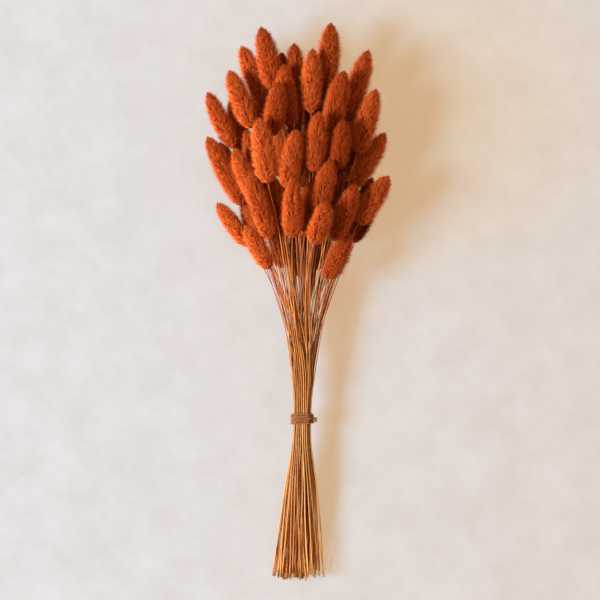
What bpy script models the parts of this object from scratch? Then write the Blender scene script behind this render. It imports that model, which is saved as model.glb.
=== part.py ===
"""A dried, dyed bunch of bunny tail grass, tied with jute twine and lying on a surface.

Each stalk is one grown piece: a straw stem that ends in a furry seed head. The stems pass through the tie
side by side in a close pack, fan out a little to their cut ends, and spread like a trumpet to the heads.
Y runs along the bunch, heads at +Y, and Z is up from the surface. Lengths below are in millimetres.
"""

import math

import bmesh
import bpy
import numpy as np
from mathutils import Vector

MM = 0.001

# The pack of stems in the tie
STEM_RADIUS = 0.76
SIDES = 6
PITCH = 1.75
PACK_ASPECT = 1.55
GRID_REACH = 10             # cells each way from the middle, more than the pack needs
TIE_X, TIE_Y, TIE_Z = 5.0, -104.0, 26.0
PARALLEL_FROM, PARALLEL_TO = -122.0, -86.0
FLARE = 0.009               # how fast the pack opens above the tie, per mm along Y

# The cut ends, where the pack has spread by these factors
CUT_Y = -247.0
CUT_STAGGER = 3.2
CUT_DROOP = 0.006           # how much further up the bunch the outer cut ends lie
FAN_X, FAN_Z = 3.1, 1.9
FAN_RINGS = 4
FAN_CENTRE_X = 1.8
FAN_CENTRE_Z = 10.5
SWIRL = math.radians(28)    # turn of the pack, from the cut ends to the tie and from the tie to the heads

# How far the stems stray from an even fan and from their rise to the heads, and how far out of order
# they leave the tie
SEED = 21
STRAY_END = (3.0, 1.4)
STRAY_BEND = (1.2, 1.0)
STRAY_RISE = (1.8, 0.8)
DISORDER = 0.6

# The seed heads
HEAD_WIDEST = 0.42
LOWER_OVAL = 2.4            # how blunt the head is below its widest ring; 2 is an ellipse
HEAD_RINGS = (0.04, 0.13, 0.27, 0.48, 0.7, 0.87, 0.96, 1.0)
HEAD_TIP_RADIUS = 1.2
HEAD_LIFT = 1.25
STEEPEST_LIFT = 0.42

# Settling the stalks against each other
RING_STEP = 24.0
STATION_STEP = 4.0
REACH_STATIONS = 4
ROUNDS = 400
SMOOTH_ROUNDS = 290
PAIR_ROUNDS = 10
PAIR_SLACK = 4.0
STEM_GAP = 0.24
HEAD_GAP = 0.35
HEAD_SIDE_GIVE = 0.05
MOST_MET = 2.0              # neighbours that a push is shared between, at most
SMOOTHING = 0.12
BASE_SMOOTHING = 0.1

# The jute twine
TWINE_RADIUS = 0.8
TWINE_PITCH = 1.95
TWINE_GAP = 0.25
WRAP_TURNS = 4.6
WRAP_START = math.radians(250)
TURN_POINTS = 18
STRAND_FROM, STRAND_TO = math.radians(128), math.radians(36)
STRAND_LOW, STRAND_HIGH = -3.4, 1.0
STRAND_POINTS = 8
KNOT_RADIUS = 1.05
KNOT_TURNS = 1.8
KNOT_POINTS = 10

# Heights of the layers of heads, from the surface up
FLOOR, LOWER, MIDDLE, UPPER, TOP = 9.2, 27.0, 44.0, 61.0, 77.0

# One line for each head: base x and y, tip x and y, layer height, width
HEADS = (
    (-21, 191, -32, 247, MIDDLE - 1, 20.5),
    (-27, 178, -48, 231, MIDDLE - 9, 19),
    (-40, 157, -60, 208, UPPER - 6, 19),
    (-45, 133, -57, 186, LOWER, 18),
    (-56, 139, -79.5, 189, MIDDLE - 2, 17),
    (-48, 88, -79.5, 149, MIDDLE, 18.5),
    (-33, 88, -56, 138, MIDDLE, 18),
    (-42, 51, -71, 90, LOWER + 6, 16),
    (-24, 31, -46, 69, MIDDLE + 4, 17),
    (-22, 57, -41, 115, UPPER, 19),
    (-26, 107, -34, 164, TOP, 21),
    (-22, 149, -15.5, 197, UPPER + 6, 19),
    (-6, 157, -12, 213, UPPER - 9, 18),
    (0.5, 174, -2, 233, MIDDLE - 4, 18.5),
    (13, 170, 14.5, 227, MIDDLE + 14, 18.5),
    (27, 192, 31, 250.5, MIDDLE - 2, 20),
    (31, 150, 35, 203, LOWER - 6, 17),
    (30.5, 154, 42.5, 207, UPPER + 2, 19.5),
    (44.5, 160, 64.5, 226.5, MIDDLE - 4, 20.5),
    (54.5, 134, 71.5, 191, MIDDLE + 8, 20),
    (49, 104, 79, 152.5, MIDDLE - 2, 19.5),
    (54, 71, 81.5, 113.5, MIDDLE + 6, 19.5),
    (47, 61, 68, 113, LOWER + 5, 19),
    (49, 55, 68, 89, FLOOR + 6, 16),
    (27, 22, 47, 62, MIDDLE + 2, 19),
    (15, 117, 20, 170, TOP, 18),
    (36, 119, 42, 163, TOP - 3, 17.5),
    (-9, 102, 0, 154, TOP, 18.5),
    (-4, 58, -3, 111, TOP, 18.5),
    (18, 81, 31, 127, TOP - 5, 18),
    (15, 53, 27, 90, TOP - 1, 18.5),
    (33, 56, 53, 106, UPPER, 18.5),
    (9, 146, 12, 192, LOWER - 3, 17),
    (7, 60, 12, 108, UPPER - 8, 18),
    (-13, 60, -20, 112, UPPER - 8, 18),
    (-32, 58, -48, 88, LOWER, 16),
    (-29, 146, -39, 195, FLOOR, 18),
    (-11, 186, -13, 226, LOWER - 6, 18),
    (1, 158, 0, 208, FLOOR, 18),
    (22, 160, 28, 209, FLOOR, 18),
    (36, 150, 48, 200, FLOOR, 18),
    (-49, 97, -69, 145, FLOOR, 18),
    (-25, 90, -41, 148, FLOOR, 19),
    (-5, 92, -8, 142, FLOOR, 18),
    (11, 94, 16, 144, FLOOR, 18),
    (28, 74, 41, 124, FLOOR, 18),
    (43, 100, 61, 144, FLOOR, 18),
    (-30, 54, -47, 96, FLOOR, 18),
    (-15, 32, -24, 82, FLOOR, 18),
    (2, 24, 2, 74, FLOOR, 18),
    (18, 30, 26, 80, FLOOR, 18),
    (35, 58, 50, 98, FLOOR, 18),
    (-11, 112, -14, 163, LOWER, 18),
    (22, 110, 27, 162, LOWER, 18),
    (3, 104, 6, 155, LOWER + 8, 18),
    (-2, 122, -4, 172, LOWER, 18),
    (43, 118, 55, 176, FLOOR + 12, 18),
    (-32, 102, -46, 156, LOWER + 8, 18),
)

SURFACES = {
    "dyed grass": ((0.60, 0.16, 0.03), 0.8),
    "jute": ((0.36, 0.19, 0.08), 0.9),
}


def material(name):
    colour, roughness = SURFACES[name]
    made = bpy.data.materials.new(name)
    made.use_nodes = True
    shader = made.node_tree.nodes["Principled BSDF"]
    shader.inputs["Base Color"].default_value = (*colour, 1.0)
    shader.inputs["Roughness"].default_value = roughness
    shader.inputs["Metallic"].default_value = 0.0
    return made


def head_profile(share):
    """Radius as a share of the widest: two half ovals, the blunter one at the base (share 0)."""
    if share > HEAD_WIDEST:
        return math.sqrt(max(0.0, 1 - ((share - HEAD_WIDEST) / (1 - HEAD_WIDEST)) ** 2))
    return math.sqrt(max(0.0, 1 - ((HEAD_WIDEST - share) / HEAD_WIDEST) ** LOWER_OVAL))


def pack_cells(count):
    """Places of the stems in the tie: the cells of a hexagonal grid nearest to its middle, in an oval."""
    reach = range(-GRID_REACH, GRID_REACH + 1)
    cells = [
        ((column + 0.5 * (row % 2)) * PITCH, row * PITCH * math.sqrt(0.75))
        for row in reach
        for column in reach
    ]
    cells.sort(key=lambda cell: ((cell[0] / PACK_ASPECT) ** 2 + cell[1] ** 2, cell[0]))
    return np.array(cells[:count])


def turned(points, angle):
    """Points of x and z turned about the bunch's own line."""
    cosine, sine = math.cos(angle), math.sin(angle)
    return points @ np.array(((cosine, sine), (-sine, cosine)))


def matched_cells(cells, leanings):
    """Give each head the cell on its own side of the pack, so that the stems don't cross."""
    spread = (leanings - leanings.mean(axis=0)) / leanings.std(axis=0) * cells.std(axis=0)
    owner = np.arange(len(cells))
    settled = False
    while not settled:
        settled = True
        for a in range(len(cells)):
            for b in range(a):
                if (cells[owner[a]] - cells[owner[b]]) @ (spread[a] - spread[b]) < -1e-9:
                    owner[a], owner[b] = owner[b], owner[a]
                    settled = False
    return cells[owner]


class Bunch:
    """The centre lines of all stalks, as x and z at heights along Y."""

    def __init__(self):
        heads = np.array(HEADS)
        self.count = len(heads)
        self.base_y, self.tip_y = heads[:, 1], heads[:, 3]
        length = self.tip_y - self.base_y
        middle_y = self.base_y + length / 2
        lift = HEAD_LIFT * (heads[:, 4] - TIE_Z) / (middle_y - TIE_Y)
        lift = np.clip(lift, 0.0, STEEPEST_LIFT)
        self.slope = np.stack(((heads[:, 2] - heads[:, 0]) / length, lift), axis=1)
        self.base = np.stack((heads[:, 0], heads[:, 4] - lift * length / 2), axis=1)
        self.long = length * np.sqrt(1 + (self.slope**2).sum(axis=1))
        self.radius = heads[:, 5] / 2
        chance = np.random.default_rng(SEED)
        leanings = turned((self.base - (TIE_X, TIE_Z)) / (self.base_y - TIE_Y)[:, None], -SWIRL)
        leanings += chance.normal(0, DISORDER, leanings.shape) * leanings.std(axis=0)
        self.cells = matched_cells(pack_cells(self.count), leanings)
        stagger = CUT_STAGGER * chance.uniform(-1, 1, self.count)
        self.cut_y = CUT_Y + stagger + CUT_DROOP * (self.cells[:, 0] * FAN_X) ** 2
        self.stray_end = chance.normal(0, 1, (self.count, 2)) * STRAY_END
        self.stray_bend = chance.normal(0, 1, (self.count, 2)) * STRAY_BEND
        self.stray_rise = chance.normal(0, 1, (self.count, 2)) * STRAY_RISE
        self.rings = self.ring_table()
        self.places = np.stack([self.first_place(i) for i in range(self.count)])
        self.settle()

    def ring_table(self):
        """Heights of the stem's rings: the same on every stem, but for its cut end and its head's base."""
        rows = []
        for base_y, cut_y in zip(self.base_y, self.cut_y):
            shared = np.arange(PARALLEL_TO, base_y - RING_STEP / 2, RING_STEP)
            rows.append([*np.linspace(cut_y, PARALLEL_FROM, FAN_RINGS), *shared, base_y])
        self.ring_count = np.array([len(row) for row in rows])
        longest = self.ring_count.max()
        return np.array([row + [row[-1]] * (longest - len(row)) for row in rows])

    def first_place(self, i):
        """Stem i before settling: straight from its cut end through the tie, then one smooth bend."""
        centre_slope = np.array(
            ((TIE_X - FAN_CENTRE_X) / (TIE_Y - CUT_Y), (TIE_Z - FAN_CENTRE_Z) / (TIE_Y - CUT_Y))
        )
        cell = self.cells[i]
        start = np.array((TIE_X, TIE_Z)) + cell + centre_slope * (PARALLEL_TO - TIE_Y)
        run = self.base_y[i] - PARALLEL_TO
        places = []
        for y in self.rings[i]:
            if y <= PARALLEL_TO:
                fan = max(0.0, (PARALLEL_FROM - y) / (PARALLEL_FROM - CUT_Y))
                spread = turned(cell, -SWIRL * fan) * (1 + fan * (np.array((FAN_X, FAN_Z)) - 1))
                stray = self.stray_end[i] * fan**2 + self.stray_bend[i] * math.sin(math.pi * min(fan, 1.0))
                places.append(np.array((TIE_X, TIE_Z)) + spread + stray + centre_slope * (y - TIE_Y))
                continue
            t = (y - PARALLEL_TO) / run
            places.append(
                start * (1 + 2 * t) * (1 - t) ** 2
                + (centre_slope + FLARE * cell) * run * t * (1 - t) ** 2
                + self.base[i] * t**2 * (3 - 2 * t)
                + self.slope[i] * run * t**2 * (t - 1)
                + self.stray_rise[i] * math.sin(math.pi * t) ** 2
            )
        return np.array(places)

    def station_weights(self, stations):
        """How much each ring counts at each station, and how far up its head the station is."""
        weights = np.zeros((self.count, len(stations), self.rings.shape[1]))
        for i in range(self.count):
            last = self.ring_count[i] - 1
            heights = self.rings[i, : last + 1]
            for k, y in enumerate(stations):
                if y >= heights[-1]:
                    weights[i, k, last] = 1.0
                elif y > heights[0]:
                    r = int(np.searchsorted(heights, y)) - 1
                    part = (y - heights[r]) / (heights[r + 1] - heights[r])
                    weights[i, k, r], weights[i, k, r + 1] = 1 - part, part
        return weights

    def settle(self):
        """Push apart stalks that meet, a little each round, until each has its own room."""
        stations = np.arange(CUT_Y - 2 * CUT_STAGGER, self.tip_y.max() + STATION_STEP, STATION_STEP)
        weights = self.station_weights(stations)
        share = (stations[None, :] - self.base_y[:, None]) / (self.tip_y - self.base_y)[:, None]
        in_head = (share >= 0) & (share <= 1)
        alive = (stations[None, :] >= self.cut_y[:, None]) & (share <= 1)
        profile = np.vectorize(head_profile)(np.clip(share, 0, 1))
        thick = np.maximum(profile * self.radius[:, None], STEM_RADIUS)
        radius = np.where(in_head, thick, STEM_RADIUS).ravel()
        reach = radius + np.where(in_head, HEAD_GAP, STEM_GAP).ravel() / 2
        beyond = np.where(in_head, stations[None, :] - self.base_y[:, None], 0.0)
        head_offset = beyond[..., None] * self.slope[:, None, :]
        pinned = (self.rings >= PARALLEL_FROM - 1) & (self.rings <= PARALLEL_TO + 1)
        moving = np.repeat(np.where(pinned, 0.0, 1.0)[..., None], 2, axis=2)
        moving[np.arange(self.count), self.ring_count - 1, 0] = HEAD_SIDE_GIVE   # a head keeps its place
        start = self.places.copy()
        for turn in range(ROUNDS):
            line = np.einsum("nkr,nrc->nkc", weights, self.places) + head_offset
            flat_line = line.reshape(-1, 2)
            if turn % PAIR_ROUNDS == 0:
                first, second, apart = self.near_pairs(line, reach.reshape(alive.shape), alive)
            between = flat_line[first] - flat_line[second]
            across = np.sqrt((between**2).sum(axis=1)) + 1e-6
            lack = np.maximum(reach[first] + reach[second] - np.hypot(across, apart), 0.0)
            bulk = radius[second] / (radius[first] + radius[second])
            away = between * (lack / across)[:, None]
            push = np.zeros_like(flat_line)
            for axis in range(2):
                push[:, axis] += np.bincount(first, away[:, axis] * bulk, len(push))
                push[:, axis] -= np.bincount(second, away[:, axis] * (1 - bulk), len(push))
            met = np.bincount(first, lack > 0, len(push)) + np.bincount(second, lack > 0, len(push))
            sunk = np.maximum(radius - flat_line[:, 1], 0.0) * alive.ravel()
            push[:, 1] += sunk
            met += sunk > 0
            moved = np.einsum("nkr,nkc->nrc", weights, push.reshape(line.shape))
            counted = np.einsum("nkr,nk->nr", weights, np.minimum(met, MOST_MET).reshape(alive.shape))
            self.places += moving * moved / np.maximum(counted, 0.5)[..., None]
            if turn < SMOOTH_ROUNDS:
                self.places += moving * SMOOTHING * self.unevenness(start)

    def near_pairs(self, line, reach, alive):
        """Points of different stalks that could meet within the next rounds, and how far apart along Y."""
        firsts, seconds, aparts = [], [], []
        points = np.arange(alive.size).reshape(alive.shape)
        length = alive.shape[1]
        for apart in range(REACH_STATIONS + 1):
            here, there = slice(0, length - apart), slice(apart, length)
            between = line[:, None, here] - line[None, :, there]
            room = reach[:, None, here] + reach[None, :, there] + PAIR_SLACK
            near = (between**2).sum(axis=3) + (apart * STATION_STEP) ** 2 < room**2
            near &= alive[:, None, here] & alive[None, :, there]
            if apart:
                near[np.arange(self.count), np.arange(self.count)] = False
            else:
                near &= (np.arange(self.count)[:, None] < np.arange(self.count))[..., None]
            i, j, k = np.nonzero(near)
            firsts.append(points[i, k])
            seconds.append(points[j, k + apart])
            aparts.append(np.full(len(i), apart * STATION_STEP))
        return np.concatenate(firsts), np.concatenate(seconds), np.concatenate(aparts)

    def unevenness(self, start):
        """How far each ring lies from the line between its neighbours, but for the bend it began with."""
        shift = self.places - start
        pull = np.zeros_like(shift)
        for i in range(self.count):
            last = self.ring_count[i] - 1
            middle = (shift[i, : last - 1] + shift[i, 2 : last + 1]) / 2
            pull[i, 1:last] = middle - shift[i, 1:last]
            pull[i, last:] = BASE_SMOOTHING * (shift[i, last - 1] - shift[i, last])
        return pull


def stalk_rings(bunch, i):
    """The rings of points of one stalk, from its cut end to the tip of its head."""
    turn = [math.pi / 6 + 2 * math.pi * side / SIDES for side in range(SIDES)]
    rings = []
    for y, (x, z) in zip(bunch.rings[i], bunch.places[i]):
        if rings and y <= rings[-1][0][1]:
            break
        rings.append([(x + STEM_RADIUS * math.cos(a), y, z + STEM_RADIUS * math.sin(a)) for a in turn])
    x, z = bunch.places[i, bunch.ring_count[i] - 1]
    base = Vector((x, bunch.base_y[i], z))
    along = Vector((bunch.slope[i, 0], 1.0, bunch.slope[i, 1])).normalized()
    side = (Vector((1, 0, 0)) - along * along.x).normalized()
    over = side.cross(along)
    for share in HEAD_RINGS:
        radius = float(max(bunch.radius[i] * head_profile(share), HEAD_TIP_RADIUS))
        centre = base + along * share * float(bunch.long[i])
        rings.append([centre + radius * (side * math.cos(a) + over * math.sin(a)) for a in turn])
    return np.array(rings)


def stalk(name, rings, origin, grass):
    """One closed solid through the rings, with its object's own origin in the tie."""
    mesh = bpy.data.meshes.new(name)
    shape = bmesh.new()
    loops = [[shape.verts.new((Vector(point) - origin) * MM) for point in ring] for ring in rings]
    for lower, upper in zip(loops, loops[1:]):
        for side in range(SIDES):
            after = (side + 1) % SIDES
            shape.faces.new((lower[side], upper[side], upper[after], lower[after]))
    shape.faces.new(loops[0])
    shape.faces.new(reversed(loops[-1]))
    bmesh.ops.recalc_face_normals(shape, faces=shape.faces)
    shape.to_mesh(mesh)
    shape.free()
    mesh.shade_smooth()
    mesh.materials.append(grass)
    made = bpy.data.objects.new(name, mesh)
    made.location = origin * MM
    bpy.context.collection.objects.link(made)


def cord(name, points, jute):
    """A round cord through the points, with filled ends."""
    curve = bpy.data.curves.new(name, "CURVE")
    curve.dimensions = "3D"
    curve.bevel_depth = TWINE_RADIUS * MM
    curve.bevel_resolution = 2
    curve.use_fill_caps = True
    spline = curve.splines.new("POLY")
    spline.points.add(len(points) - 1)
    for place, point in zip(spline.points, points):
        place.co = (*(Vector(point) * MM), 1.0)
    curve.materials.append(jute)
    made = bpy.data.objects.new(name, curve)
    bpy.context.collection.objects.link(made)


class Tie:
    """Routes of the twine round the pack of stems."""

    def __init__(self, cells, offset):
        self.cells = cells
        self.offset = offset
        self.lean = (TIE_Z - FAN_CENTRE_Z) / (TIE_Y - CUT_Y)

    def snug(self, angle, y, layer):
        """Where a cord pulled tight round the pack lies in one direction; layer 1 lies over layer 0."""
        reach = STEM_RADIUS + TWINE_RADIUS + TWINE_GAP + layer * (2 * TWINE_RADIUS + TWINE_GAP)
        facing = np.array((math.cos(angle), math.sin(angle)))
        rod = self.cells[np.argmax(self.cells @ facing)]
        x, z = rod + reach * facing + (TIE_X, TIE_Z)
        return np.array((x, y, z + self.lean * (y - TIE_Y))) + self.offset

    def wraps(self):
        """Turns side by side, that begin and end under the bunch."""
        points = []
        for step in range(int(WRAP_TURNS * TURN_POINTS) + 1):
            turn = step / TURN_POINTS
            y = TIE_Y + (turn - WRAP_TURNS / 2) * TWINE_PITCH
            points.append(self.snug(WRAP_START - 2 * math.pi * turn, y, 0))
        return points

    def knot(self):
        """A strand laid aslant over the front, ending in two small turns at the right side."""
        points = []
        for step in range(STRAND_POINTS + 1):
            part = step / STRAND_POINTS
            angle = STRAND_FROM + (STRAND_TO - STRAND_FROM) * part
            points.append(self.snug(angle, TIE_Y + STRAND_LOW + (STRAND_HIGH - STRAND_LOW) * part, 1))
        out = np.array((math.cos(STRAND_TO), 0, math.sin(STRAND_TO)))
        centre = points[-1] + KNOT_RADIUS * out
        for step in range(1, int(KNOT_TURNS * KNOT_POINTS) + 1):
            turn = step / KNOT_POINTS
            angle = STRAND_TO + math.pi + 2 * math.pi * turn
            drop = np.array((0, -TWINE_PITCH * turn, 0))
            points.append(centre + drop + KNOT_RADIUS * np.array((math.cos(angle), 0, math.sin(angle))))
        return points


def clear_scene():
    for made in list(bpy.data.objects):
        bpy.data.objects.remove(made, do_unlink=True)


def build():
    clear_scene()
    grass, jute = material("dyed grass"), material("jute")
    bunch = Bunch()
    stalks = [stalk_rings(bunch, i) for i in range(bunch.count)]
    every = np.concatenate([rings.reshape(-1, 3) for rings in stalks])
    low, high = every.min(axis=0), every.max(axis=0)
    offset = -np.array(((low[0] + high[0]) / 2, (low[1] + high[1]) / 2, low[2]))
    for i, rings in enumerate(stalks):
        cell_x, cell_z = bunch.cells[i]
        origin = Vector((TIE_X + cell_x, TIE_Y, TIE_Z + cell_z)) + Vector(offset)
        stalk(f"stalk_{i + 1:02d}", rings + offset, origin, grass)
    tie = Tie(bunch.cells, offset)
    cord("twine_wraps", tie.wraps(), jute)
    cord("twine_knot", tie.knot(), jute)


build()
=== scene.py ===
import math

import bpy
import numpy as np
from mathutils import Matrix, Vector


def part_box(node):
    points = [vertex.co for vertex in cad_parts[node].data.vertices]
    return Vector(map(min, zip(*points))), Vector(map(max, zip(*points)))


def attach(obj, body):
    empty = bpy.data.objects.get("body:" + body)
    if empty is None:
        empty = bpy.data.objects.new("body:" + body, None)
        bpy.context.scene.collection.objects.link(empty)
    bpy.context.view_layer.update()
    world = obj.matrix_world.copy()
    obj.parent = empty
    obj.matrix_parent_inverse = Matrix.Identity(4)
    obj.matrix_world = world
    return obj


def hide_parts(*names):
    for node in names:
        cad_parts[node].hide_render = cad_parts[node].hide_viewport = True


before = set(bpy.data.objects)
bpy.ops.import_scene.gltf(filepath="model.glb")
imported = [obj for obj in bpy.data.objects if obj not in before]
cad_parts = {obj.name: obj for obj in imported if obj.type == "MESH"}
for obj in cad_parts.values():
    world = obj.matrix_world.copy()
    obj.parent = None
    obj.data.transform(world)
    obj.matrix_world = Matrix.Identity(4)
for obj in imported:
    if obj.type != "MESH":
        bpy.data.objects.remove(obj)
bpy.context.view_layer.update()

# A dried, dyed bunch of bunny tail grass. Each stalk is one piece: a straw stem and a furry seed head made
# of husks and fine bristles. The stems are tied with jute twine. Lengths are in millimetres unless they say
# metres.
MM = 0.001
STALKS = sorted(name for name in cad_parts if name.startswith("stalk_"))
SEED = 20
FULL_TURN = 2 * math.pi

# The seed head, drawn at this length and radius and then fitted to each stalk
HEAD_LENGTH = 55.0
HEAD_RADIUS = 9.0
HEAD_WIDEST = 0.42                   # how far up it is widest, as a share of its length
UPPER_OVAL, LOWER_OVAL = 2.45, 2.8   # how full it is above and below that: 2 is an ellipse
HEAD_BEND = 0.7                      # the most that its middle bends aside
NARROWEST = 0.35                     # a place on the head is no nearer to its axis than this
HEAD_SHAPES = 4
HIDDEN = 0.3                         # a head has fewer bristles if less of it than this shows from above
GOLDEN_ANGLE = math.radians(137.508)

# Husks. A reach is a share of the head's radius.
HUSKS = 216
HUSK_LENGTH = 6.4
HUSK_WIDTH = 2.2
HUSK_THICKNESS = 1.5
HUSK_BELOW = 0.75                    # the share of a husk that lies below its place on the head
HUSK_REACH = 0.78
CORE_REACH = 0.5
HUSK_TONES = (0.1, 0.6)

# Bristles, in one tuft on each husk
BRISTLES = 17
SPARE_BRISTLES = 8                   # on the heads that others hide
BRISTLE_WIDTH = 0.29
BRISTLE_RISE = 4.6                   # how far up the head they reach from their husk
ROOT_REACH = 0.58
BRISTLE_REACH = 1.09
TUFT_WIDTH = 2.7                     # how far the bristles of one husk spread at their tips
LEAST_GIRTH = 2.2                    # bristles near the head's ends spread as on this radius
TIP_BRISTLES = 90                    # these close the head's tip
TIP_SPREAD = 7.0                     # how far from the axis they end at most, in NARROWESTs
STRAYS = 480                         # fine hairs that stand clear of the rest
STRAY_WIDTH = 0.34
STRAY_RISE = (2.0, 5.5)
STRAY_CLEAR = (0.8, 3.6)

# The stem
STEM_SIDES = 7
STEM_RINGS = 56
STEM_RADIUS_LOW, STEM_RADIUS_HIGH = 0.65, 0.44
STEM_WAVES = ((60, 0.04), (23, 0.03))    # how its thickness swells and shrinks along it
SOLID_SIDES = 6                          # of the stem in a stalk's own solid
SOLID_RADIUS = 0.76
STEM_IN_HEAD = 0.12                      # how far a stem goes on into its head, as a share of the head
PACK_FROM, PACK_TO = -122.0, -86.0       # where the stems run side by side through the tie
OPEN_LENGTH = 110.0                      # over this length a second stem parts from the first
SECOND_SIDES = (-1, 0.3, 1)              # a hidden stalk has a second stem to each of these sides
SECOND_STEM = (2.2, 3.6)
SECOND_RISE = (-1.0, 1.5)
SECOND_THICKNESS = 0.78
STEM_CLEAR, HEAD_CLEAR = 0.3, 0.5        # of the surface under the bunch

# How deep the colour of a stalk is, from 0 for the darkest to 1. The stalks that others hide get the
# # darkest, as painted shade under the heads above them; the others vary at random in tone.
HIDDEN_PAINTED_SHADES = (0, 0.12)
FRONT_SHADES = (0.15, 1)

# How the skin of a stalk is laid out on its map: tones of bristle side by side, then the stem
TONES = 18
HEAD_MAP = 0.72
STEM_MAP_FROM, STEM_MAP_TO = 0.78, 0.98
MAP_EDGE = 0.02

# The twine, on the route of the tie's own solids
TWINE_RADIUS = 0.8
TWINE_PITCH = 1.95
TWINE_GAP = 0.25
WRAP_TURNS = 4.6
WRAP_START = math.radians(250)
STRAND_FROM, STRAND_TO = math.radians(128), math.radians(36)
STRAND_LOW, STRAND_HIGH = -3.4, 1.0
KNOT_RADIUS = 1.05
KNOT_TURNS = 1.8
WRAP_STEPS, STRAND_STEPS, KNOT_STEPS = 72, 32, 40    # for one turn, the whole strand, one turn
TWINE_STEP = 0.6
PLIES = 3
PLY_RADIUS = 0.6
PLY_SIDES = 5
PLY_TWIST = 4.2                      # length of twine for one turn of its plies
PLY_SWELL = 0.08
LAID_RADIUS = 0.95                   # of the twine with its plies pressed together
FIBRES_PER_STEP = 0.9                # loose ones
FIBRE_WIDTH = 0.09
FIBRE_LENGTH = (0.8, 2.4)

# The surface, light and camera, in metres. The surface gives off a little warm light, so that shadows on it
# # turn tan, and a warm tint round one place on it is painted light, for the colour that the dyed heads
# # throw there.
FLOOR_SIZE = 6.0
GLOW, GLOW_STRENGTH = "#FFCC98", 0.615
PAINTED_WARM_LIGHT_PLACE = (0.13, 0.175, 0.0)
WINDOW_PLACE, WINDOW_AIM = (-2.2, -0.25, 1.97), (0, 0.05, 0.03)
WINDOW_SIZE, WINDOW_POWER, WINDOW_COLOUR = 1.15, 187.0, "#FFF8F0"
ROOM_LIGHT, ROOM_STRENGTH = "#FFD8B0", 0.64
LENS = 270.0                         # in millimetres: long, for little perspective
VIEW_WIDTH = 0.538
VIEW_CENTRE = (0.0018, 0.0027, 0.045)


# ------------------------------------------------------------------ colour and materials

def linear(colour):
    """An sRGB hex colour as linear red, green, blue and alpha."""
    values = [int(colour[i : i + 2], 16) / 255 for i in (1, 3, 5)]
    return (*(v / 12.92 if v <= 0.04045 else ((v + 0.055) / 1.055) ** 2.4 for v in values), 1.0)


def add(tree, kind, links=None, **settings):
    """A node of this kind: settings name its properties or inputs, links its inputs' sources."""
    node = tree.nodes.new(kind)
    for name, value in settings.items():
        key = name.replace("_", " ")
        if hasattr(node, name):
            setattr(node, name, value)
        else:
            node.inputs[int(name[3:]) if name.startswith("in_") else key].default_value = value
    for name, source in (links or {}).items():
        tree.links.new(source, node.inputs[name])
    return node


def new_material(name):
    """A material with its node tree and its shader node."""
    made = bpy.data.materials.new(name)
    made.use_nodes = True
    return made, made.node_tree, made.node_tree.nodes["Principled BSDF"]


def ramp(tree, source, *stops):
    """A colour ramp through stops of (place, hex colour)."""
    node = add(tree, "ShaderNodeValToRGB", {"Fac": source})
    elements = node.color_ramp.elements
    while len(elements) < len(stops):
        elements.new(0.5)
    for element, (place, colour) in zip(elements, stops):
        element.position = place
        element.color = linear(colour)
    return node.outputs["Color"]


def product(tree, first, second):
    """The colour of one layer times that of another, as dyes lie over each other."""
    node = add(tree, "ShaderNodeMix", data_type="RGBA", blend_type="MULTIPLY")
    node.inputs["Factor"].default_value = 1.0
    for place, source in ((6, first), (7, second)):      # the node's two colours
        tree.links.new(source, node.inputs[place])
    return node.outputs[2]


def dyed_plume():
    """Bunny tail plume, dip dyed burnt orange, bright at the bristles' tips and darker towards their roots:
    painted shade in the depths of the head. It is dull, with a weak warm sheen from the many fine hairs."""
    made, tree, shader = new_material("dyed_plume")
    place = add(tree, "ShaderNodeUVMap", uv_map="OFBake")
    parts = add(tree, "ShaderNodeSeparateXYZ", {"Vector": place.outputs["UV"]})
    # Darker towards the bristles' roots: painted shade in the depths of the head
    along = ramp(
        tree, parts.outputs["Y"],
        (0.0, "#7C2A14"), (0.25, "#C65628"), (0.55, "#FD8239"), (0.85, "#FB9148"), (1.0, "#F29158"),
    )
    tone = add(tree, "ShaderNodeMath", operation="DIVIDE", in_1=HEAD_MAP)
    tree.links.new(parts.outputs["X"], tone.inputs[0])
    tint = ramp(tree, tone.outputs[0], (0.0, "#C8A090"), (0.5, "#F6ECE6"), (1.0, "#FFFFFF"))
    colour = product(tree, along, tint)
    # Stalks that others hide are darkest, as painted shade; the others differ at random in tone
    shade = add(tree, "ShaderNodeAttribute", attribute_name="shade")
    depth = ramp(tree, shade.outputs["Fac"], (0.0, "#8C5646"), (0.2, "#DEC8BC"), (1.0, "#FFFFFF"))
    colour = product(tree, colour, depth)
    tree.links.new(colour, shader.inputs["Base Color"])
    shader.inputs["Roughness"].default_value = 0.85
    shader.inputs["IOR"].default_value = 1.5
    shader.inputs["Specular IOR Level"].default_value = 0.1
    shader.inputs["Sheen Weight"].default_value = 0.1
    shader.inputs["Sheen Tint"].default_value = linear("#FF9A50")
    return made


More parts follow.
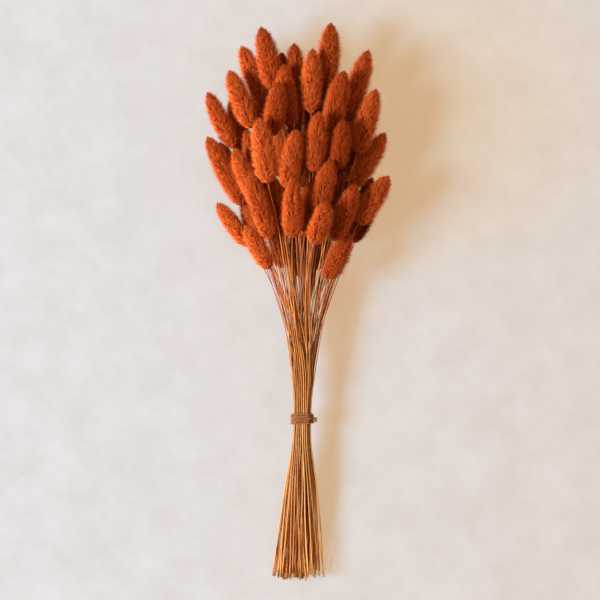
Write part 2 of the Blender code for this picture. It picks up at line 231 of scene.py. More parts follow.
def dyed_straw():
    """Dry grass stem that took the dye unevenly: silky, with fine fibres along it from pale straw to rust.
    Its streaks are about 0.15 mm wide and 8 mm long, coarser than the real ones so that they show."""
    streaks_round, streaks_along, streak_scale = 18.0, 4.0, 9.0
    stalks_apart = 61.0
    made, tree, shader = new_material("dyed_straw")
    place = add(tree, "ShaderNodeUVMap", uv_map="OFBake")
    parts = add(tree, "ShaderNodeSeparateXYZ", {"Vector": place.outputs["UV"]})
    shade = add(tree, "ShaderNodeAttribute", attribute_name="shade")
    around = add(tree, "ShaderNodeMath", operation="MULTIPLY", in_1=streaks_round)
    tree.links.new(parts.outputs["X"], around.inputs[0])
    seed = add(tree, "ShaderNodeMath", operation="MULTIPLY", in_1=stalks_apart)
    tree.links.new(shade.outputs["Fac"], seed.inputs[0])
    length = add(tree, "ShaderNodeMath", operation="MULTIPLY", in_1=streaks_along)
    tree.links.new(parts.outputs["Y"], length.inputs[0])
    fibres_at = add(
        tree, "ShaderNodeCombineXYZ", {"X": around.outputs[0], "Y": length.outputs[0], "Z": seed.outputs[0]}
    )
    fibres = add(
        tree, "ShaderNodeTexNoise", {"Vector": fibres_at.outputs[0]},
        Scale=streak_scale, Detail=3.0, Roughness=0.6,
    )
    colour = ramp(
        tree, fibres.outputs["Fac"],
        (0.28, "#90521A"), (0.45, "#C48C46"), (0.58, "#E0B270"), (0.75, "#F8DEAC"),
    )
    # Stalks that others hide are darkest, as painted shade; the others differ at random in tone
    depth = ramp(
        tree, shade.outputs["Fac"],
        (0.0, "#C0946A"), (0.4, "#DABA92"), (0.8, "#F4E4D0"), (1.0, "#FFF6EC"),
    )
    colour = product(tree, colour, depth)
    dye = ramp(
        tree, parts.outputs["Y"],
        (0.12, "#FFFCF4"), (0.35, "#E0E4DA"), (0.62, "#E0D0A4"), (0.78, "#F0C874"), (0.95, "#DC9848"),
    )
    colour = product(tree, colour, dye)
    tree.links.new(colour, shader.inputs["Base Color"])
    shader.inputs["Roughness"].default_value = 0.38
    shader.inputs["IOR"].default_value = 1.5
    shader.inputs["Specular IOR Level"].default_value = 0.35
    bump = add(tree, "ShaderNodeBump", {"Height": fibres.outputs["Fac"]}, Strength=0.25, Distance=0.1 * MM)
    tree.links.new(bump.outputs["Normal"], shader.inputs["Normal"])
    return made


def jute():
    """Twisted jute twine, undyed: dull brown fibres, paler where they stand proud.
    They are drawn about half a millimetre wide, coarser than real ones, so that they show."""
    made, tree, shader = new_material("jute_twine")
    place = add(tree, "ShaderNodeUVMap", uv_map="OFBake")
    stretch = add(tree, "ShaderNodeMapping", {"Vector": place.outputs["UV"]}, Scale=(26.0, 420.0, 1.0))
    fibres = add(
        tree, "ShaderNodeTexNoise", {"Vector": stretch.outputs[0]}, Scale=1.0, Detail=4.0, Roughness=0.65
    )
    colour = ramp(
        tree, fibres.outputs["Fac"],
        (0.25, "#401C04"), (0.45, "#763E0C"), (0.6, "#9A5C18"), (0.8, "#BC8434"),
    )
    tree.links.new(colour, shader.inputs["Base Color"])
    shader.inputs["Roughness"].default_value = 0.85
    shader.inputs["Sheen Weight"].default_value = 0.2
    bump = add(tree, "ShaderNodeBump", {"Height": fibres.outputs["Fac"]}, Strength=0.5, Distance=0.2 * MM)
    tree.links.new(bump.outputs["Normal"], shader.inputs["Normal"])
    return made


def plaster():
    """Matt painted plaster under the bunch: near white, with a faint mottling in clouds about 40 mm wide.
    Its own colour is bluish, and with the warm light that it gives off it looks neutral. Round one place
    it is painted warmer: painted light, for the colour that the dyed heads throw there."""
    clouds_per_metre = 24.0
    made, tree, shader = new_material("matt_plaster")
    place = add(tree, "ShaderNodeTexCoord")
    cloud = add(
        tree, "ShaderNodeTexNoise", {"Vector": place.outputs["Object"]},
        Scale=clouds_per_metre, Detail=6.0, Roughness=0.72,
    )
    colour = ramp(tree, cloud.outputs["Fac"], (0.3, "#427192"), (0.7, "#5481A2"))
    # A warmer tint round one place: painted light, for the colour that the dyed heads throw on the floor
    away = add(tree, "ShaderNodeVectorMath", operation="DISTANCE", in_1=PAINTED_WARM_LIGHT_PLACE)
    tree.links.new(place.outputs["Object"], away.inputs[0])
    painted_warm_light = ramp(
        tree, away.outputs["Value"],
        (0.0, "#FFE9D2"), (0.05, "#FFEBD8"), (0.1, "#FFF3E8"), (0.16, "#FFFDFB"), (0.22, "#FFFFFF"),
    )
    colour = product(tree, colour, painted_warm_light)
    tree.links.new(colour, shader.inputs["Base Color"])
    shader.inputs["Roughness"].default_value = 0.9
    shader.inputs["Specular IOR Level"].default_value = 0.1
    shader.inputs["Emission Color"].default_value = linear(GLOW)
    shader.inputs["Emission Strength"].default_value = GLOW_STRENGTH
    return made


# ------------------------------------------------------------------ shapes drawn once

class Shape:
    """Points, triangles, and a map place for each corner of each triangle."""

    def __init__(self, points, faces, corners):
        self.points, self.faces, self.corners = points, faces, corners

    def placed(self, turns, origins):
        """Copies of the shape, each with its own 3 by 3 turn (its columns are the new axes) and origin."""
        count = len(origins)
        points = np.einsum("nij,pj->npi", turns, self.points) + origins[:, None, :]
        step = len(self.points) * np.arange(count)[:, None, None]
        return points.reshape(-1, 3), (self.faces[None] + step).reshape(-1, 3)


def drawn():
    """The active object's mesh as points and triangles. The object is then deleted. The triangles are put in
    order, because a new sphere lists them in another order each time."""
    made = bpy.context.object
    mesh = made.data
    mesh.calc_loop_triangles()
    points = np.array([v.co for v in mesh.vertices])
    faces = np.array([t.vertices for t in mesh.loop_triangles])
    bpy.data.objects.remove(made)
    return points, faces[np.lexsort(faces.T)]


def select_none():
    bpy.ops.object.select_all(action="DESELECT")


def bristle():
    """One three-sided hair, a unit long and about a unit wide at its root."""
    select_none()
    bpy.ops.mesh.primitive_cone_add(vertices=3, radius1=0.55, radius2=0.0, depth=1.0, location=(0, 0, 0.5))
    bpy.ops.object.transform_apply(location=True, rotation=True, scale=True)
    points, faces = drawn()
    corners = np.zeros((len(faces), 3, 2))
    for face, row in zip(faces, corners):
        heights = points[face, 2]
        row[:, 0] = np.where(heights > 0.5, 0.5, 0.0)
        row[:, 1] = heights
        low = np.nonzero(heights <= 0.5)[0]
        row[low[1], 0] = 1.0
        if len(low) == 3:
            row[low[2]] = (0.5, 0.05)
    return Shape(points, faces, corners)


def husk():
    """One glume of a spikelet: a three-sided drop, widest near its root, a unit long and about as wide."""
    select_none()
    bpy.ops.mesh.primitive_cone_add(vertices=3, radius1=0.5, radius2=0.0, depth=0.62, location=(0, 0, 0.69))
    bpy.ops.object.transform_apply(location=True, rotation=True, scale=True)
    mesh = bpy.context.object.data
    bpy.ops.object.mode_set(mode="EDIT")
    bpy.ops.mesh.select_mode(type="FACE")
    bpy.ops.mesh.select_all(action="DESELECT")
    bpy.ops.object.mode_set(mode="OBJECT")
    for face in mesh.polygons:
        face.select = face.normal.z < -0.9
    bpy.ops.object.mode_set(mode="EDIT")
    bpy.ops.mesh.poke(offset=0.38)
    bpy.ops.object.mode_set(mode="OBJECT")
    points, faces = drawn()
    # Husks take the lower, darker part of the plume's colours: painted shade under the bristles
    corners = np.stack((0.5 + 0.9 * points[faces][..., 0], 0.1 + 0.6 * points[faces][..., 2]), axis=-1)
    return Shape(points, faces, np.clip(corners, 0, 1))


def core():
    """The head's solid middle, a unit in radius and length, widest below its middle."""
    select_none()
    bpy.ops.mesh.primitive_uv_sphere_add(segments=10, ring_count=9, radius=1.0)
    bpy.ops.object.mode_set(mode="OBJECT")
    points, faces = drawn()
    upper = points[:, 2] > 0
    points[:, 2] *= np.where(upper, 1 - HEAD_WIDEST, HEAD_WIDEST)
    points[:, 2] += HEAD_WIDEST
    # The core takes the dark lower end of the plume's colours: painted shade in the middle of the head
    corners = np.stack((0.5 + 0.45 * points[faces][..., 0], 0.05 + 0.2 * points[faces][..., 2]), axis=-1)
    return Shape(points, faces, np.clip(corners, 0, 1))


def straight_stem():
    """A straight stem a unit long: long sides cut into rings, and a pith set into its cut end."""
    select_none()
    bpy.ops.mesh.primitive_cylinder_add(
        vertices=STEM_SIDES, radius=1.0, depth=1.0, end_fill_type="NGON", location=(0, 0, 0.5)
    )
    bpy.ops.object.transform_apply(location=True, rotation=True, scale=True)
    mesh = bpy.context.object.data
    bpy.ops.object.mode_set(mode="EDIT")
    bpy.ops.mesh.select_all(action="DESELECT")
    bpy.ops.mesh.select_mode(type="EDGE")
    bpy.ops.object.mode_set(mode="OBJECT")
    for edge in mesh.edges:
        low, high = (mesh.vertices[v].co.z for v in edge.vertices)
        edge.select = abs(high - low) > 0.5
    bpy.ops.object.mode_set(mode="EDIT")
    bpy.ops.mesh.subdivide(number_cuts=STEM_RINGS)
    bpy.ops.mesh.select_all(action="DESELECT")
    bpy.ops.mesh.select_mode(type="FACE")
    bpy.ops.object.mode_set(mode="OBJECT")
    for face in mesh.polygons:
        face.select = face.normal.z < -0.9
    bpy.ops.object.mode_set(mode="EDIT")
    bpy.ops.mesh.inset(thickness=0.35)
    bpy.ops.transform.translate(value=(0, 0, 0.0012))
    bpy.ops.object.mode_set(mode="OBJECT")
    points, faces = drawn()
    around = (np.arctan2(points[:, 1], points[:, 0]) / FULL_TURN + 0.5)[faces]
    wraps = np.ptp(around, axis=1) > 0.5
    around[wraps] = np.where(around[wraps] < 0.5, around[wraps] + 1, around[wraps])
    map_turns = 1.2                  # the side where the map closes runs on past one turn
    corners = np.stack((around / map_turns, points[faces][..., 2]), axis=-1)
    return Shape(points, faces, corners)


# ------------------------------------------------------------------ the seed head

def head_width(share):
    """Radius of the head as a share of its widest, from its base (0) to its tip (1)."""
    upper = np.clip((share - HEAD_WIDEST) / (1 - HEAD_WIDEST), 0, 1) ** UPPER_OVAL
    lower = np.clip((HEAD_WIDEST - share) / HEAD_WIDEST, 0, 1) ** LOWER_OVAL
    return np.sqrt(np.clip(1 - upper - lower, 0, 1))


def axes_along(directions, outward):
    """3 by 3 turns whose third axis is each direction and whose second faces outward."""
    third = directions / np.linalg.norm(directions, axis=1, keepdims=True)
    first = np.cross(outward, third)
    first /= np.linalg.norm(first, axis=1, keepdims=True)
    second = np.cross(third, first)
    return np.stack((first, second, third), axis=2)


def on_head(angle, share, reach):
    """Points at these angles and shares of the length, at a share of the head's radius there."""
    radius = np.maximum(reach * HEAD_RADIUS * head_width(share), NARROWEST)
    return np.stack((radius * np.cos(angle), radius * np.sin(angle), share * HEAD_LENGTH), axis=1)


def outward_at(angle):
    """Directions out of the head at these angles, leaning a little towards its tip."""
    return np.stack((np.cos(angle), np.sin(angle), np.full(len(angle), 0.2)), axis=1)


def husk_places(chance):
    """Where each husk grows: its share of the head's length, its angle round it, its turn, size, root."""
    spread = np.linspace(0, 1, 400)
    cover = np.cumsum(head_width(spread) + 0.06)
    share = np.interp((np.arange(HUSKS) + 0.5) / HUSKS * cover[-1], cover, spread)
    share = np.clip(share + chance.normal(0, 0.006, HUSKS), 0.0, 1.0)
    angle = np.arange(HUSKS) * GOLDEN_ANGLE + chance.normal(0, 0.10, HUSKS)
    rise = HUSK_LENGTH / HEAD_LENGTH * chance.uniform(0.8, 1.1, HUSKS)
    low = np.clip(share - HUSK_BELOW * rise, 0.005, 0.9)
    high = np.clip(share + (1 - HUSK_BELOW) * rise, 0.03, 0.975)
    roots = on_head(angle, low, 0.8 * CORE_REACH)
    tips = on_head(angle, high, HUSK_REACH * chance.uniform(0.93, 1.05, HUSKS))
    turns = axes_along(tips - roots, outward_at(angle))
    long = np.linalg.norm(tips - roots, axis=1)
    sizes = np.stack((np.full(HUSKS, HUSK_WIDTH), np.full(HUSKS, HUSK_THICKNESS), long), axis=1)
    return share, angle, turns, sizes, roots


def tufts(chance, bristles, share, angle):
    """The bristles of every husk's tuft: roots, ends, angles of the roots, and the husk each belongs to."""
    owner = np.repeat(np.arange(HUSKS), bristles)
    count = len(owner)
    across = np.tile(np.linspace(-1, 1, bristles), HUSKS) + chance.normal(0, 0.12, count)
    start = share[owner] + chance.uniform(-0.06, 0.045, count) - 0.02 * np.abs(across)
    start = np.clip(start, 0.0, 0.95)
    girth = np.maximum(HEAD_RADIUS * head_width(start), LEAST_GIRTH)
    root_angle = angle[owner] + across * 0.5 * HUSK_WIDTH / girth
    roots = on_head(root_angle, start, ROOT_REACH + chance.normal(0, 0.05, count))

    rise = BRISTLE_RISE / HEAD_LENGTH
    tuft_end = share + rise * chance.uniform(0.85, 1.15, HUSKS)
    tuft_end -= np.interp(share, (0.0, 0.16), (0.6, 0.0)) * rise      # they hug the head's base
    tuft_reach = BRISTLE_REACH * chance.normal(1.0, 0.045, HUSKS)
    end_share = tuft_end[owner] + chance.normal(0, 0.03, count) - 0.016 * across**2
    end_share = np.clip(end_share, start + 0.012, 1.0 + chance.uniform(-0.02, 0.028, count))
    end_girth = np.maximum(HEAD_RADIUS * head_width(end_share), LEAST_GIRTH)
    end_angle = angle[owner] + across * 0.5 * TUFT_WIDTH / end_girth + chance.normal(0, 0.15, count)
    ends = on_head(end_angle, end_share, tuft_reach[owner] * chance.normal(1.0, 0.10, count))
    return roots, ends, root_angle, owner


def tip_tuft(chance):
    """Bristles that close the head's tip."""
    angle = chance.uniform(0, FULL_TURN, TIP_BRISTLES)
    start = chance.uniform(0.86, 0.95, TIP_BRISTLES)
    roots = on_head(angle, start, chance.uniform(0.0, 0.5, TIP_BRISTLES))
    ends = on_head(angle, chance.uniform(0.96, 1.03, TIP_BRISTLES), 0.0)
    ends[:, :2] *= chance.uniform(0.0, TIP_SPREAD, (TIP_BRISTLES, 1))
    return roots, ends, angle, np.full(TIP_BRISTLES, HUSKS - 1)


def stray_hairs(chance, strays, share, angle):
    """Fine hairs that end clear of the rest."""
    owner = chance.integers(0, HUSKS, strays)
    root_angle = angle[owner] + chance.normal(0, 0.2, strays)
    roots = on_head(root_angle, share[owner], 0.8)
    end_share = np.clip(share[owner] + chance.uniform(*STRAY_RISE, strays) / HEAD_LENGTH, 0, 0.99)
    ends = on_head(root_angle + chance.normal(0, 0.12, strays), end_share, 1.0)
    girth = np.linalg.norm(ends[:, :2], axis=1)
    ends[:, :2] *= (1 + chance.uniform(*STRAY_CLEAR, strays) / girth)[:, None]
    return roots, ends, root_angle, owner


def seed_head(chance, bristles, strays, hair, glume, middle):
    """A head in its own place: base at the origin, tip at HEAD_LENGTH on Z. Gives points, faces, map."""
    share, angle, turns, sizes, roots = husk_places(chance)
    husk_points, husk_faces = glume.placed(turns * sizes[:, None, :], roots)
    husk_tone = chance.uniform(*HUSK_TONES, HUSKS)

    hairs = (
        tufts(chance, bristles, share, angle),
        tip_tuft(chance),
        stray_hairs(chance, strays, share, angle),
    )
    roots, ends, root_angle, owner = (np.concatenate(rows) for rows in zip(*hairs))
    count = len(owner)
    turns = axes_along(ends - roots, outward_at(root_angle) + chance.normal(0, 0.3, (count, 3)))
    wide = BRISTLE_WIDTH * math.sqrt(BRISTLES / bristles) * chance.uniform(0.7, 1.2, count)
    wide[count - strays :] = STRAY_WIDTH
    sizes = np.stack((wide, wide, np.linalg.norm(ends - roots, axis=1)), axis=1)
    hair_points, hair_faces = hair.placed(turns * sizes[:, None, :], roots)
    hair_tone = np.clip(husk_tone[owner] + chance.normal(0.15, 0.18, count), 0, 0.999)

    core_size = np.diag((CORE_REACH * HEAD_RADIUS, CORE_REACH * HEAD_RADIUS, 0.9 * HEAD_LENGTH))
    core_points, core_faces = middle.placed(core_size[None], np.array(((0, 0, 0.03 * HEAD_LENGTH),)))
    return joined((
        (core_points, core_faces, tone_corners(middle, np.zeros(1))),
        (husk_points, husk_faces, tone_corners(glume, husk_tone)),
        (hair_points, hair_faces, tone_corners(hair, hair_tone)),
    ))


def tone_corners(shape, tones):
    """Map places of the copies of a shape, each in the column of its tone."""
    column = np.floor(np.asarray(tones) * TONES) / TONES
    corners = np.repeat(shape.corners[None], len(column), axis=0)
    corners[..., 0] = (column[:, None, None] + (0.1 + 0.8 * corners[..., 0]) / TONES) * HEAD_MAP
    corners[..., 1] = MAP_EDGE + (1 - 2 * MAP_EDGE) * corners[..., 1]
    return corners.reshape(-1, 3, 2)


def joined(parts):
    """One set of points, faces and map places from several."""
    points, faces, corners, base = [], [], [], 0
    for part_points, part_faces, part_corners in parts:
        points.append(part_points)
        faces.append(part_faces + base)
        corners.append(part_corners)
        base += len(part_points)
    return np.concatenate(points), np.concatenate(faces), np.concatenate(corners)


# ------------------------------------------------------------------ the stalks

class Stalk:
    """A stalk's own line, read from its solid in the frame: ring centres of the stem, then the head."""

    def __init__(self, node):
        points = np.array([vertex.co for vertex in node.data.vertices], float) / MM
        points = np.unique(np.round(points, 3), axis=0)
        heights, ring_of = np.unique(np.round(points[:, 1], 2), return_inverse=True)
        in_stem = np.zeros(len(points), bool)
        centres = []
        for ring in range(len(heights)):
            members = ring_of == ring
            middle = points[members].mean(axis=0)
            across = np.linalg.norm(points[members] - middle, axis=1).max()
            if members.sum() == SOLID_SIDES and across < 1.3 * SOLID_RADIUS:
                in_stem |= members
                centres.append(middle)
        self.centres = np.array(centres)
        self.base = self.centres[-1]
        head = points[~in_stem]
        self.axis = head.mean(axis=0) - self.base
        self.axis /= np.linalg.norm(self.axis)
        beyond = (head - self.base) @ self.axis
        self.length = beyond.max()
        self.radius = np.linalg.norm(head - self.base - beyond[:, None] * self.axis, axis=1).max()

    def line(self, count):
        """Evenly spaced points on a smooth curve through the stem and a little way into the head."""
        knots = np.vstack((self.centres, self.base + STEM_IN_HEAD * self.length * self.axis))
        y = knots[:, 1]
        slopes = np.gradient(knots, y, axis=0)
        slopes[-2:] = self.axis / self.axis[1]
        fine = np.linspace(y[0], y[-1], 6 * count)
        cell = np.clip(np.searchsorted(y, fine) - 1, 0, len(y) - 2)
        step = y[cell + 1] - y[cell]
        t = ((fine - y[cell]) / step)[:, None]
        step = step[:, None]
        curve = (
            (1 + 2 * t) * (1 - t) ** 2 * knots[cell]
            + t * (1 - t) ** 2 * step * slopes[cell]
            + t**2 * (3 - 2 * t) * knots[cell + 1]
            + t**2 * (t - 1) * step * slopes[cell + 1]
        )
        run = np.concatenate(([0.0], np.cumsum(np.linalg.norm(np.diff(curve, axis=0), axis=1))))
        even = np.linspace(0, run[-1], count)
        return np.stack([np.interp(even, run, curve[:, i]) for i in range(3)], axis=1)


def frames_along(line):
    """Unit tangents of a line and two unit sides of each."""
    tangent = np.gradient(line, axis=0)
    tangent /= np.linalg.norm(tangent, axis=1, keepdims=True)
    side = np.cross(tangent, (0.0, 0.0, 1.0))
    side /= np.linalg.norm(side, axis=1, keepdims=True)
    return tangent, side, np.cross(side, tangent)


def stem_on(stalk, straight, chance, aside=None):
    """The straight stem bent along the stalk's line, a little uneven in thickness.
    A second, thinner stem of the same tussock leaves that line above and below the tie."""
    line = stalk.line(STEM_RINGS + 2)
    if aside is not None:
        above_tie = np.clip((line[:, 1] - PACK_TO) / OPEN_LENGTH, 0, 1)
        below_tie = np.clip((PACK_FROM - line[:, 1]) / OPEN_LENGTH, 0, 1)
        share_aside = above_tie**2 * (3 - 2 * above_tie) - 0.8 * below_tie
        line = line + share_aside[:, None] * aside
    _, side, over = frames_along(line)
    share = np.clip(straight.points[:, 2], 0, 1)
    where = share * (len(line) - 1)
    step = np.arange(len(line))
    centre, across, above = (
        np.stack([np.interp(where, step, rows[:, i]) for i in range(3)], axis=1)
        for rows in (line, side, over)
    )
    thick = STEM_RADIUS_LOW + (STEM_RADIUS_HIGH - STEM_RADIUS_LOW) * share
    thick *= chance.uniform(0.8, 1.08) if aside is None else SECOND_THICKNESS
    starts = chance.uniform(0, FULL_TURN, len(STEM_WAVES))
    waves = [height * np.sin(share * rate + start) for (rate, height), start in zip(STEM_WAVES, starts)]
    thick *= 1 + sum(waves)
    points = centre + thick[:, None] * (straight.points[:, :1] * across + straight.points[:, 1:2] * above)
    corners = straight.corners.copy()
    corners[..., 0] = STEM_MAP_FROM + (STEM_MAP_TO - STEM_MAP_FROM) * corners[..., 0]
    corners[..., 1] = MAP_EDGE + (1 - 2 * MAP_EDGE) * corners[..., 1]
    return press_to_floor(points, STEM_CLEAR), straight.faces, corners


def head_on(stalk, shape, chance):
    """One of the drawn heads, rolled, fitted to the stalk's head and bent a little."""
    points, faces, corners = shape
    roll = chance.uniform(0, FULL_TURN)
    cosine, sine = math.cos(roll), math.sin(roll)
    local = points @ np.array(((cosine, sine, 0), (-sine, cosine, 0), (0, 0, 1)))
    local = local * (stalk.radius / HEAD_RADIUS, stalk.radius / HEAD_RADIUS, stalk.length / HEAD_LENGTH)
    share = np.clip(local[:, 2] / stalk.length, 0, 1)
    bend = chance.uniform(-HEAD_BEND, HEAD_BEND, 2)
    local[:, :2] += (4 * share * (1 - share))[:, None] * bend
    turn = axes_along(stalk.axis[None], np.array(((0.0, 0.0, 1.0),)))[0]
    placed = local @ turn.T + stalk.base
    return press_to_floor(placed, HEAD_CLEAR), faces, corners


def press_to_floor(points, height):
    """What would pass below this height is bent along it, and nothing goes through the surface."""
    give, lowest = 0.04, 0.05
    pressed = height + give * (points[:, 2] - height)
    points[:, 2] = np.maximum(np.where(points[:, 2] < height, pressed, points[:, 2]), lowest)
    return points


def mesh_piece(name, parts, materials, shade=None):
    """An object of the joined parts, in metres, each part with its own material."""
    points, faces, corners = joined(parts)
    mesh = bpy.data.meshes.new(name)
    mesh.vertices.add(len(points))
    mesh.vertices.foreach_set("co", (points * MM).ravel())
    mesh.loops.add(len(faces) * 3)
    mesh.loops.foreach_set("vertex_index", faces.ravel())
    mesh.polygons.add(len(faces))
    mesh.polygons.foreach_set("loop_start", np.arange(len(faces)) * 3)
    index = np.concatenate([np.full(len(part[1]), i) for i, part in enumerate(parts)])
    mesh.polygons.foreach_set("material_index", np.minimum(index, len(materials) - 1))
    mesh.polygons.foreach_set("use_smooth", np.ones(len(faces), bool))
    layer = mesh.uv_layers.new(name="OFBake")
    layer.data.foreach_set("uv", corners.reshape(-1, 2).ravel())
    if shade is not None:
        values = mesh.attributes.new("shade", "FLOAT", "POINT")
        values.data.foreach_set("value", np.full(len(points), shade))
    for material in materials:
        mesh.materials.append(material)
    mesh.update(calc_edges=True)
    mesh.validate()
    made = bpy.data.objects.new(name, mesh)
    bpy.context.collection.objects.link(made)
    return made


def shown(stalk, stalks):
    """The share of a head that shows from above: points across it that no higher head covers."""
    along, across = np.meshgrid(np.linspace(0.08, 0.92, 12), np.linspace(-0.7, 0.7, 5), indexing="ij")
    sideways = np.cross(stalk.axis, (0.0, 0.0, 1.0))
    points = stalk.base + along.reshape(-1, 1) * stalk.length * stalk.axis
    points = points + across.reshape(-1, 1) * stalk.radius * head_width(along.reshape(-1, 1)) * sideways
    clear = np.ones(len(points), bool)
    for other in stalks:
        if other is stalk:
            continue
        beyond = (points[:, :2] - other.base[:2]) @ other.axis[:2] / (other.axis[:2] @ other.axis[:2])
        share = beyond / other.length
        on_axis = other.base + beyond[:, None] * other.axis
        apart = np.linalg.norm(points[:, :2] - on_axis[:, :2], axis=1)
        over = (share > 0) & (share < 1) & (on_axis[:, 2] > points[:, 2])
        clear &= ~(over & (apart < other.radius * head_width(np.clip(share, 0, 1))))
    return clear.mean()


def make_stalks():
    """Every stalk's piece: its stem, any second stems, and one of the drawn heads."""
    chance = np.random.default_rng(SEED)
    hair, glume, middle, straight = bristle(), husk(), core(), straight_stem()
    full = [seed_head(chance, BRISTLES, STRAYS, hair, glume, middle) for _ in range(HEAD_SHAPES)]
    spare = [seed_head(chance, SPARE_BRISTLES, 0, hair, glume, middle) for _ in range(HEAD_SHAPES)]
    plume, straw = dyed_plume(), dyed_straw()
    lines = {node: Stalk(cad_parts[node]) for node in STALKS}
    for number, (node, stalk) in enumerate(lines.items()):
        hidden = shown(stalk, lines.values()) < HIDDEN
        stems = [stem_on(stalk, straight, chance)]
        if hidden:
            for side in SECOND_SIDES:
                aside = np.array((side * chance.uniform(*SECOND_STEM), 0, chance.uniform(*SECOND_RISE)))
                stems.append(stem_on(stalk, straight, chance, aside))
        shapes = spare if hidden else full
        head = head_on(stalk, shapes[number % HEAD_SHAPES], chance)
        materials = (straw,) * len(stems) + (plume,)
        # A hidden stalk gets the darkest colours: painted shade
        shade = chance.uniform(*(HIDDEN_PAINTED_SHADES if hidden else FRONT_SHADES))
        piece = mesh_piece(f"grass_{node}", (*stems, head), materials, shade)
        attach(piece, "root")
        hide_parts(node)
    return lines


# ------------------------------------------------------------------ the twine

class Tie:
    """The route of the twine, pulled tight round the stems where they pass through it. The bundle leans a
    little there, and the turns lean with it."""

    def __init__(self, lines):
        low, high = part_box("twine_wraps")
        self.y = (low.y + high.y) / 2 / MM
        rods, ahead, step = [], [], 10
        for stalk in lines.values():
            for rows, y in ((rods, self.y), (ahead, self.y + step)):
                rows.append([np.interp(y, stalk.centres[:, 1], stalk.centres[:, i]) for i in (0, 2)])
        self.rods = np.array(rods)
        self.middle = self.rods.mean(axis=0)
        self.lean = (np.array(ahead).mean(axis=0) - self.middle)[1] / step

    def snug(self, angle, y, layer):
        """A point of the twine outside the outermost stem at this angle, in this layer of twine."""
        reach = SOLID_RADIUS + TWINE_RADIUS + TWINE_GAP + layer * (2 * TWINE_RADIUS + TWINE_GAP)
        facing = np.array((math.cos(angle), math.sin(angle)))
        rod = self.rods[np.argmax((self.rods - self.middle) @ facing)]
        x, z = rod + reach * facing
        return np.array((x, y, z + self.lean * (y - self.y)))

    def wraps(self):
        """The turns round the stems, side by side."""
        rows = []
        for step in range(int(WRAP_TURNS * WRAP_STEPS) + 1):
            turn = step / WRAP_STEPS
            y = self.y + (turn - WRAP_TURNS / 2) * TWINE_PITCH
            rows.append(self.snug(WRAP_START - FULL_TURN * turn, y, 0))
        return np.array(rows)

    def knot(self):
        """The strand that crosses the wraps aslant, and the small tight turns that it ends in."""
        rows = []
        for step in range(STRAND_STEPS + 1):
            part = step / STRAND_STEPS
            angle = STRAND_FROM + (STRAND_TO - STRAND_FROM) * part
            rows.append(self.snug(angle, self.y + STRAND_LOW + (STRAND_HIGH - STRAND_LOW) * part, 1))
        out = np.array((math.cos(STRAND_TO), 0, math.sin(STRAND_TO)))
        centre = rows[-1] + KNOT_RADIUS * out
        for step in range(1, int(KNOT_TURNS * KNOT_STEPS) + 1):
            turn = step / KNOT_STEPS
            angle = STRAND_TO + math.pi + FULL_TURN * turn
            drop = np.array((0, -TWINE_PITCH * turn, 0))
            rows.append(centre + drop + KNOT_RADIUS * np.array((math.cos(angle), 0, math.sin(angle))))
        return np.array(rows)


def evenly(line, spacing):
    """The line again with points evenly spaced and slightly smoothed, and how far along each is."""
    run = np.concatenate(([0.0], np.cumsum(np.linalg.norm(np.diff(line, axis=0), axis=1))))
    count = max(4, int(run[-1] / spacing))
    even = np.linspace(0, run[-1], count)
    points = np.stack([np.interp(even, run, line[:, i]) for i in range(3)], axis=1)
    for _ in range(2):
        points[1:-1] = (points[:-2] + 2 * points[1:-1] + points[2:]) / 4
    return points, even


def tube(line, radius, sides, map_from, map_to):
    """A closed round tube on a line, with map places round and along it."""
    tangent = np.gradient(line, axis=0)
    tangent /= np.linalg.norm(tangent, axis=1, keepdims=True)
    side = np.zeros_like(tangent)
    first = np.cross(tangent[0], (0.3, 1.0, 0.2))
    side[0] = first / np.linalg.norm(first)
    for i in range(1, len(line)):
        turned = side[i - 1] - tangent[i] * (side[i - 1] @ tangent[i])
        side[i] = turned / np.linalg.norm(turned)
    over = np.cross(tangent, side)
    angle = FULL_TURN * np.arange(sides) / sides
    ring = np.cos(angle)[None, :, None] * side[:, None] + np.sin(angle)[None, :, None] * over[:, None]
    points = (line[:, None] + np.reshape(radius, (-1, 1, 1)) * ring).reshape(-1, 3)
    points = np.vstack((points, line[0] - 0.2 * tangent[0], line[-1] + 0.2 * tangent[-1]))
    faces, corners = [], []
    last = len(line) - 1
    for i in range(last):
        for j in range(sides):
            k = (j + 1) % sides
            a, b, c, d = i * sides + j, i * sides + k, (i + 1) * sides + k, (i + 1) * sides + j
            u0, u1 = j / sides, (j + 1) / sides
            v0, v1 = i / last, (i + 1) / last
            faces += [(a, b, c), (a, c, d)]
            corners += [((u0, v0), (u1, v0), (u1, v1)), ((u0, v0), (u1, v1), (u0, v1))]
    for j in range(sides):
        k = (j + 1) % sides
        faces += [(len(points) - 2, k, j), (len(points) - 1, last * sides + j, last * sides + k)]
        corners += [((0.5, 0.0), (0.6, 0.002), (0.4, 0.002)), ((0.5, 1.0), (0.4, 0.998), (0.6, 0.998))]
    corners = np.array(corners)
    corners[..., 0] = map_from + (map_to - map_from) * corners[..., 0]
    return points, np.array(faces), corners


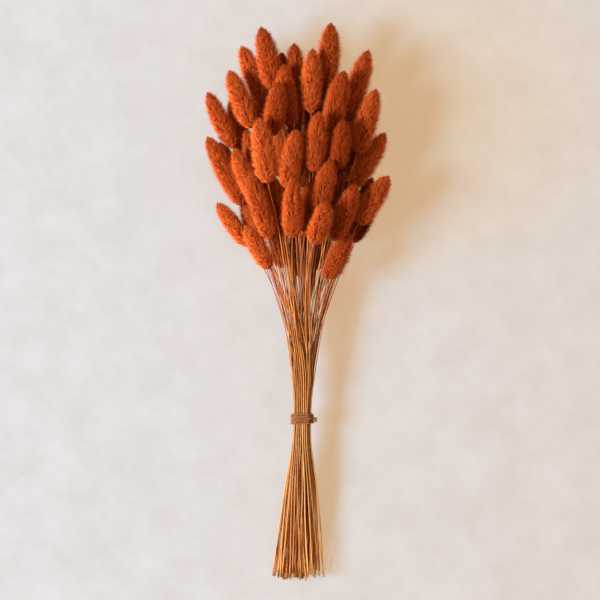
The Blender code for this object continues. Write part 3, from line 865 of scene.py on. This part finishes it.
def loose_fibres(line, tangent, side, over, chance):
    """Short hairs that stand off the twine, either way along it."""
    hair = bristle()
    count = int(len(line) * FIBRES_PER_STEP)
    at = chance.integers(1, len(line) - 1, count)
    angle = chance.uniform(0, FULL_TURN, count)
    out = np.cos(angle)[:, None] * side[at] + np.sin(angle)[:, None] * over[at]
    sense = np.where(chance.uniform(0, 1, count) < 0.5, -1.0, 1.0)[:, None]
    aim = out * chance.uniform(0.25, 1.0, (count, 1)) + tangent[at] * sense
    turns = axes_along(aim, out)
    length = chance.uniform(*FIBRE_LENGTH, count)
    sizes = np.stack((np.full(count, FIBRE_WIDTH), np.full(count, FIBRE_WIDTH), length), axis=1)
    points, faces = hair.placed(turns * sizes[:, None, :], line[at] + out * LAID_RADIUS * 0.8)
    corners = np.repeat(hair.corners[None], count, axis=0).reshape(-1, 3, 2)
    corners = np.stack((0.93 + 0.05 * corners[..., 0], 0.1 + 0.5 * corners[..., 1]), axis=-1)
    return points, faces, corners


def twisted_twine(name, node, route, material, chance):
    """Plies laid round each other along the route, with loose fibres standing off them."""
    line, run = evenly(route, TWINE_STEP)
    tangent = np.gradient(line, axis=0)
    tangent /= np.linalg.norm(tangent, axis=1, keepdims=True)
    side = np.cross(tangent, (0.0, 1.0, 0.0))
    side /= np.linalg.norm(side, axis=1, keepdims=True)
    over = np.cross(tangent, side)
    map_column = 0.9 / PLIES         # the loose fibres take the rest of the map
    parts = []
    for ply in range(PLIES):
        angle = FULL_TURN * (run / PLY_TWIST + ply / PLIES)
        offset = np.cos(angle)[:, None] * side + np.sin(angle)[:, None] * over
        centre = line + (LAID_RADIUS - PLY_RADIUS) * offset
        radius = PLY_RADIUS * (1 + PLY_SWELL * np.sin(run * 1.7 + 2 * ply))
        radius[0] = radius[-1] = PLY_RADIUS * 0.6
        parts.append(tube(centre, radius, PLY_SIDES, ply * map_column, (ply + 0.9) * map_column))
    parts.append(loose_fibres(line, tangent, side, over, chance))
    piece = mesh_piece(name, parts, (material,))
    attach(piece, "root")
    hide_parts(node)


def make_twine(lines):
    """The wraps and the knot, round the stems of these stalks."""
    chance = np.random.default_rng(SEED + 1)
    tie, material = Tie(lines), jute()
    twisted_twine("jute_wraps", "twine_wraps", tie.wraps(), material, chance)
    twisted_twine("jute_knot", "twine_knot", tie.knot(), material, chance)


# ------------------------------------------------------------------ floor, light and camera

def make_stage():
    select_none()
    bpy.ops.mesh.primitive_plane_add(size=FLOOR_SIZE, location=(0, 0, 0))
    floor = bpy.context.object
    floor.name = "floor"
    floor.data.materials.append(plaster())


def make_light():
    """One soft window on the left, and the warm light of the room."""
    light = bpy.data.lights.new("window", "AREA")
    light.shape = "DISK"
    light.size = WINDOW_SIZE
    light.energy = WINDOW_POWER
    light.color = linear(WINDOW_COLOUR)[:3]
    made = bpy.data.objects.new("window", light)
    made.location = WINDOW_PLACE
    made.rotation_euler = (Vector(WINDOW_AIM) - Vector(WINDOW_PLACE)).to_track_quat("-Z", "Y").to_euler()
    bpy.context.collection.objects.link(made)
    world = bpy.data.worlds.new("room")
    world.use_nodes = True
    background = world.node_tree.nodes["Background"]
    background.inputs["Color"].default_value = linear(ROOM_LIGHT)
    background.inputs["Strength"].default_value = ROOM_STRENGTH
    bpy.context.scene.world = world
    bpy.context.scene.view_settings.view_transform = "Standard"


def make_camera():
    """Straight above the bunch, from far enough for little perspective."""
    lens = bpy.data.cameras.new("camera")
    lens.lens = LENS
    lens.clip_end = 10.0
    made = bpy.data.objects.new("camera", lens)
    distance = VIEW_WIDTH * lens.lens / lens.sensor_width
    made.location = Vector(VIEW_CENTRE) + Vector((0, 0, distance))
    bpy.context.collection.objects.link(made)
    bpy.context.scene.camera = made


make_camera()
make_stage()
make_light()
make_twine(make_stalks())
